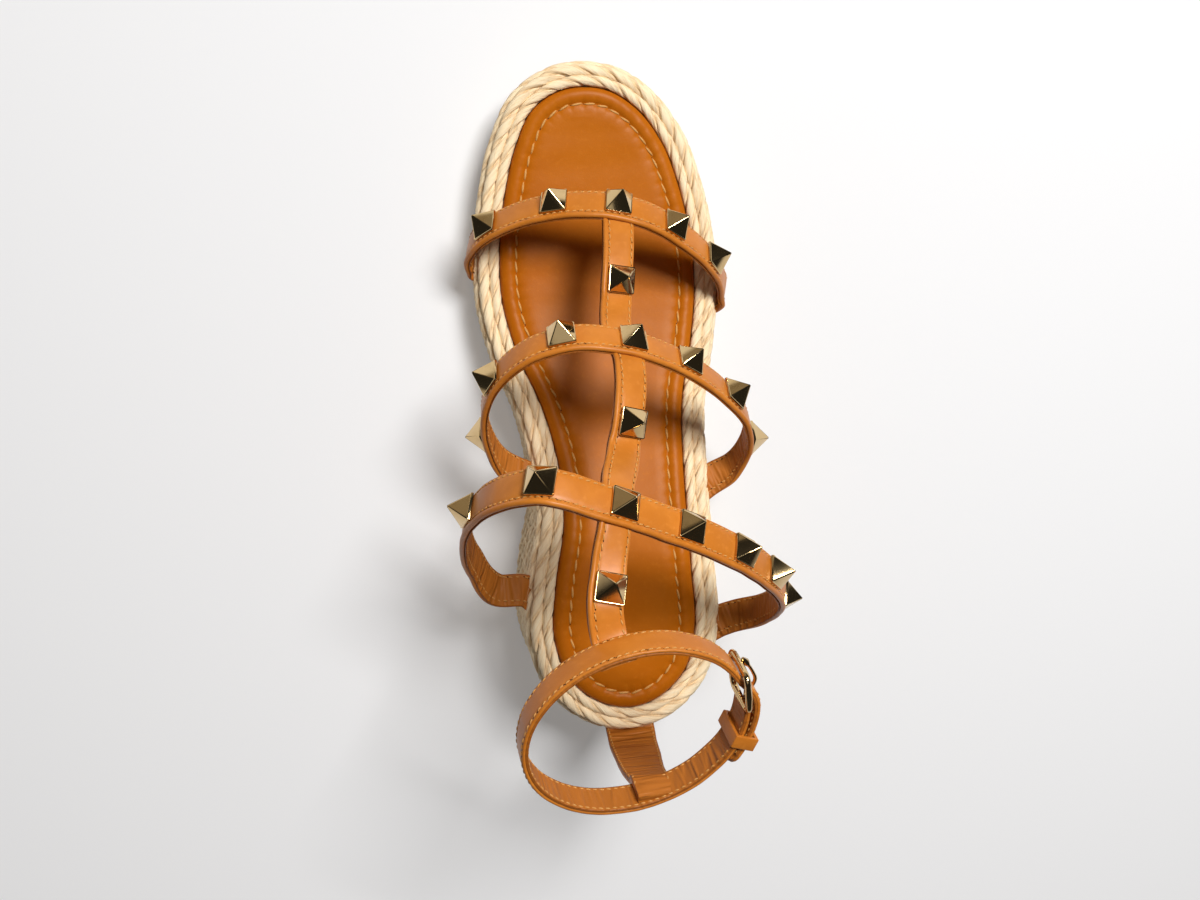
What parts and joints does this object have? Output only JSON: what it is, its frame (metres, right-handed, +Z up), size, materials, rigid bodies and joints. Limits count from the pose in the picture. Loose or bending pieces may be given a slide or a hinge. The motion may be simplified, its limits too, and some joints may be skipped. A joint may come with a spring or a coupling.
{
  "type": "wedge espadrille",
  "caption": "Right-foot wedge espadrille: a plaited jute wedge with a padded leather footbed and an open cage of leather straps set with pyramid studs, closed by an ankle buckle.",
  "frame": {"origin": "on the ground under the ball of the foot", "axes": "+Y towards the toe, +X to the outer side of the foot, +Z up"},
  "size_m": [0.1335, 0.2747, 0.1562],
  "materials": {
    "tan_leather": "smooth, lightly glazed tan strap leather",
    "footbed_leather": "soft padded leather, polished at the rim",
    "jute": "bleached jute plait, matt fibres",
    "rubber": "matt dark rubber",
    "pale_gold": "polished pale gold plate"
  },
  "bodies": {
    "root": {"outsole": "rubber", "jute_wedge": "jute", "top_plait": "jute", "footbed": "footbed_leather", "caged_upper": "tan_leather", "strap_keeper": "tan_leather", "buckle_frame": "pale_gold", "buckle_prong": "pale_gold", "stud_bar_1": "pale_gold", "stud_bar_2": "pale_gold", "stud_bar_3": "pale_gold", "stud_one_1": "pale_gold", "stud_one_2": "pale_gold", "stud_one_3": "pale_gold", "stud_one_4": "pale_gold", "stud_one_5": "pale_gold", "stud_two_1": "pale_gold", "stud_two_2": "pale_gold", "stud_two_3": "pale_gold", "stud_two_4": "pale_gold", "stud_two_5": "pale_gold", "stud_two_6": "pale_gold", "stud_two_7": "pale_gold", "stud_three_1": "pale_gold", "stud_three_2": "pale_gold", "stud_three_3": "pale_gold", "stud_three_4": "pale_gold", "stud_three_5": "pale_gold", "stud_three_6": "pale_gold", "stud_three_7": "pale_gold"}
  },
  "joints": []
}
